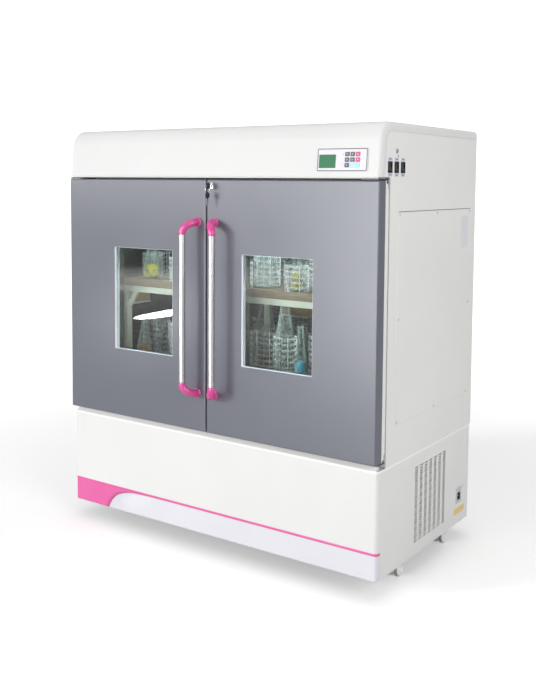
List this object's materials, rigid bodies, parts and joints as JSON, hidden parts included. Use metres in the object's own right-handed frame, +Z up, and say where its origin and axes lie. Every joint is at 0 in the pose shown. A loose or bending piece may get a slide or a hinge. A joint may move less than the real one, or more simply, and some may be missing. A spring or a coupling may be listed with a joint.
{
  "type": "incubated orbital shaker",
  "caption": "Floor-standing incubated orbital shaker: tall cabinet on casters with glazed double doors, stacked orbiting trays and controls in the head.",
  "frame": {"origin": "centre of the footprint box, on the floor under the casters", "axes": "+X to the user's right, +Y to the back, +Z up; the doors face -Y"},
  "size_m": [1.3241, 0.8034, 1.4875],
  "materials": {
    "white_paint": "satin off-white powder coat",
    "side_paint": "satin off-white powder coat",
    "foam": "rigid foam",
    "stainless": "mirror-bright stainless sheet",
    "door_paint": "satin blue-grey powder coat",
    "glass": "clear tempered glass",
    "brushed_steel": "brushed tube",
    "pink_plastic": "glossy moulded plastic",
    "chrome": "polished",
    "dark_plastic": "matte black moulding",
    "fascia": "printed overlay",
    "display": "green display window",
    "key_dark": "soft key",
    "key_pink": "soft key",
    "key_cyan": "soft key",
    "steel": "machined and zinc-plated steel",
    "dark_paint": "black enamel",
    "rubber": "black rubber",
    "rack_paint": "pale green-white paint on light tube",
    "tray": "brown laminate deck plate",
    "clear_plastic": "translucent grey moulding"
  },
  "bodies": {
    "cabinet": {"cabinet_shell": "white_paint", "insulation": "foam", "chamber_liner": "stainless", "service_panel": "side_paint", "head_cover": "white_paint", "fascia_panel": "fascia", "display_window": "display", "switch_block": "dark_plastic", "base_shell": "white_paint", "power_inlet": "dark_plastic", "chassis": "steel", "drive_motor": "dark_paint", "drive_belt": "rubber", "cooling_unit": "dark_paint", "door_seal": "rubber", "left_hinge_upper": "dark_paint", "left_hinge_lower": "dark_paint", "right_hinge_upper": "dark_paint", "right_hinge_lower": "dark_paint"},
    "left_door": {"left_door": "door_paint", "left_pane": "glass", "left_grip": "brushed_steel", "left_elbow_upper": "pink_plastic", "left_elbow_lower": "pink_plastic"},
    "right_door": {"right_door": "door_paint", "right_pane": "glass", "right_grip": "brushed_steel", "right_elbow_upper": "pink_plastic", "right_elbow_lower": "pink_plastic"},
    "lock": {"lock_barrel": "chrome", "lock_key": "dark_plastic"},
    "spare_key": {"spare_key": "dark_plastic"},
    "key_1_1": {"key_1_1": "key_dark"},
    "key_1_2": {"key_1_2": "key_dark"},
    "key_1_3": {"key_1_3": "key_pink"},
    "key_2_1": {"key_2_1": "key_dark"},
    "key_2_2": {"key_2_2": "key_dark"},
    "key_2_3": {"key_2_3": "key_pink"},
    "key_3_1": {"key_3_1": "key_dark"},
    "key_3_2": {"key_3_2": "key_cyan"},
    "rocker_1": {"rocker_1": "dark_plastic"},
    "rocker_2": {"rocker_2": "dark_plastic"},
    "rocker_3": {"rocker_3": "dark_plastic"},
    "main_crank": {"main_crank": "steel"},
    "platform": {"platform_frame": "rack_paint", "lower_tray": "tray", "upper_tray": "tray"},
    "idler_crank_left": {"idler_crank_left": "steel"},
    "idler_crank_right": {"idler_crank_right": "steel"},
    "motor_pulley": {"motor_pulley": "steel"},
    "circulation_fan": {"circulation_fan": "dark_plastic"},
    "cooling_fan": {"cooling_fan": "dark_plastic"},
    "caster_front_left_swivel": {"caster_front_left_swivel": "clear_plastic"},
    "caster_front_left_wheels": {"caster_front_left_wheels": "clear_plastic"},
    "caster_front_right_swivel": {"caster_front_right_swivel": "clear_plastic"},
    "caster_front_right_wheels": {"caster_front_right_wheels": "clear_plastic"},
    "caster_rear_left_swivel": {"caster_rear_left_swivel": "clear_plastic"},
    "caster_rear_left_wheels": {"caster_rear_left_wheels": "clear_plastic"},
    "caster_rear_right_swivel": {"caster_rear_right_swivel": "clear_plastic"},
    "caster_rear_right_wheels": {"caster_rear_right_wheels": "clear_plastic"}
  },
  "joints": [
    {"name": "left_door_hinge", "type": "hinge", "parent": "cabinet", "child": "left_door", "pos_m": [-0.6454, -0.291, 0.8715], "axis": [0, 0, -1], "range_deg": [0, 110]},
    {"name": "right_door_hinge", "type": "hinge", "parent": "cabinet", "child": "right_door", "pos_m": [0.6454, -0.291, 0.8715], "axis": [0, 0, 1], "range_deg": [0, 110]},
    {"name": "lock_turn", "type": "hinge", "parent": "right_door", "child": "lock", "pos_m": [0.025, -0.338, 1.287], "axis": [0, 1, 0], "range_deg": [0, 90]},
    {"name": "spare_key_swing", "type": "hinge", "parent": "lock", "child": "spare_key", "pos_m": [0.025, -0.3631, 1.2852], "axis": [1, 0, 0], "range_deg": [-60, 15]},
    {"name": "key_1_1_press", "type": "slide", "parent": "cabinet", "child": "key_1_1", "axis": [0, 0.9954, -0.0958], "range_m": [0, 0.0008], "stiffness_N_per_m": 1500},
    {"name": "key_1_2_press", "type": "slide", "parent": "cabinet", "child": "key_1_2", "axis": [0, 0.9954, -0.0958], "range_m": [0, 0.0008], "stiffness_N_per_m": 1500},
    {"name": "key_1_3_press", "type": "slide", "parent": "cabinet", "child": "key_1_3", "axis": [0, 0.9954, -0.0958], "range_m": [0, 0.0008], "stiffness_N_per_m": 1500},
    {"name": "key_2_1_press", "type": "slide", "parent": "cabinet", "child": "key_2_1", "axis": [0, 0.9954, -0.0958], "range_m": [0, 0.0008], "stiffness_N_per_m": 1500},
    {"name": "key_2_2_press", "type": "slide", "parent": "cabinet", "child": "key_2_2", "axis": [0, 0.9954, -0.0958], "range_m": [0, 0.0008], "stiffness_N_per_m": 1500},
    {"name": "key_2_3_press", "type": "slide", "parent": "cabinet", "child": "key_2_3", "axis": [0, 0.9954, -0.0958], "range_m": [0, 0.0008], "stiffness_N_per_m": 1500},
    {"name": "key_3_1_press", "type": "slide", "parent": "cabinet", "child": "key_3_1", "axis": [0, 0.9954, -0.0958], "range_m": [0, 0.0008], "stiffness_N_per_m": 1500},
    {"name": "key_3_2_press", "type": "slide", "parent": "cabinet", "child": "key_3_2", "axis": [0, 0.9954, -0.0958], "range_m": [0, 0.0008], "stiffness_N_per_m": 1500},
    {"name": "rocker_1_tip", "type": "hinge", "parent": "cabinet", "child": "rocker_1", "pos_m": [0.655, -0.273, 1.3485], "axis": [0, 1, 0], "range_deg": [0, 18]},
    {"name": "rocker_2_tip", "type": "hinge", "parent": "cabinet", "child": "rocker_2", "pos_m": [0.655, -0.23, 1.3485], "axis": [0, 1, 0], "range_deg": [0, 18]},
    {"name": "rocker_3_tip", "type": "hinge", "parent": "cabinet", "child": "rocker_3", "pos_m": [0.655, -0.187, 1.3485], "axis": [0, 1, 0], "range_deg": [0, 18]},
    {"name": "main_crank_turn", "type": "hinge", "parent": "cabinet", "child": "main_crank", "pos_m": [0, -0.078, 0.252], "axis": [0, 0, 1], "continuous": true},
    {"name": "platform_orbit", "type": "hinge", "parent": "main_crank", "child": "platform", "pos_m": [0.013, -0.078, 0.4615], "axis": [0, 0, 1], "continuous": true},
    {"name": "idler_crank_left_turn", "type": "hinge", "parent": "cabinet", "child": "idler_crank_left", "pos_m": [-0.36, 0.162, 0.4615], "axis": [0, 0, 1], "continuous": true},
    {"name": "idler_crank_right_turn", "type": "hinge", "parent": "cabinet", "child": "idler_crank_right", "pos_m": [0.36, 0.162, 0.4615], "axis": [0, 0, 1], "continuous": true},
    {"name": "motor_pulley_turn", "type": "hinge", "parent": "cabinet", "child": "motor_pulley", "pos_m": [-0.27, -0.078, 0.252], "axis": [0, 0, 1], "continuous": true},
    {"name": "circulation_fan_turn", "type": "hinge", "parent": "cabinet", "child": "circulation_fan", "pos_m": [0.5845, 0.0715, 0.874], "axis": [1, 0, 0], "continuous": true},
    {"name": "cooling_fan_turn", "type": "hinge", "parent": "cabinet", "child": "cooling_fan", "pos_m": [0.584, 0.067, 0.1951], "axis": [1, 0, 0], "continuous": true},
    {"name": "caster_front_left_swivel_turn", "type": "hinge", "parent": "cabinet", "child": "caster_front_left_swivel", "pos_m": [-0.612, -0.116, 0.065], "axis": [0, 0, 1], "continuous": true},
    {"name": "caster_front_left_roll", "type": "hinge", "parent": "caster_front_left_swivel", "child": "caster_front_left_wheels", "pos_m": [-0.612, -0.096, 0.024], "axis": [1, 0, 0], "continuous": true},
    {"name": "caster_front_right_swivel_turn", "type": "hinge", "parent": "cabinet", "child": "caster_front_right_swivel", "pos_m": [0.612, -0.116, 0.065], "axis": [0, 0, 1], "continuous": true},
    {"name": "caster_front_right_roll", "type": "hinge", "parent": "caster_front_right_swivel", "child": "caster_front_right_wheels", "pos_m": [0.612, -0.096, 0.024], "axis": [1, 0, 0], "continuous": true},
    {"name": "caster_rear_left_swivel_turn", "type": "hinge", "parent": "cabinet", "child": "caster_rear_left_swivel", "pos_m": [-0.612, 0.237, 0.065], "axis": [0, 0, 1], "continuous": true},
    {"name": "caster_rear_left_roll", "type": "hinge", "parent": "caster_rear_left_swivel", "child": "caster_rear_left_wheels", "pos_m": [-0.612, 0.257, 0.024], "axis": [1, 0, 0], "continuous": true},
    {"name": "caster_rear_right_swivel_turn", "type": "hinge", "parent": "cabinet", "child": "caster_rear_right_swivel", "pos_m": [0.612, 0.237, 0.065], "axis": [0, 0, 1], "continuous": true},
    {"name": "caster_rear_right_roll", "type": "hinge", "parent": "caster_rear_right_swivel", "child": "caster_rear_right_wheels", "pos_m": [0.612, 0.257, 0.024], "axis": [1, 0, 0], "continuous": true}
  ],
  "couplings": [
    {"joint": "platform_orbit", "follows": "main_crank_turn", "ratio": -1},
    {"joint": "idler_crank_left_turn", "follows": "main_crank_turn", "ratio": 1},
    {"joint": "idler_crank_right_turn", "follows": "main_crank_turn", "ratio": 1},
    {"joint": "motor_pulley_turn", "follows": "main_crank_turn", "ratio": 3.0769}
  ]
}
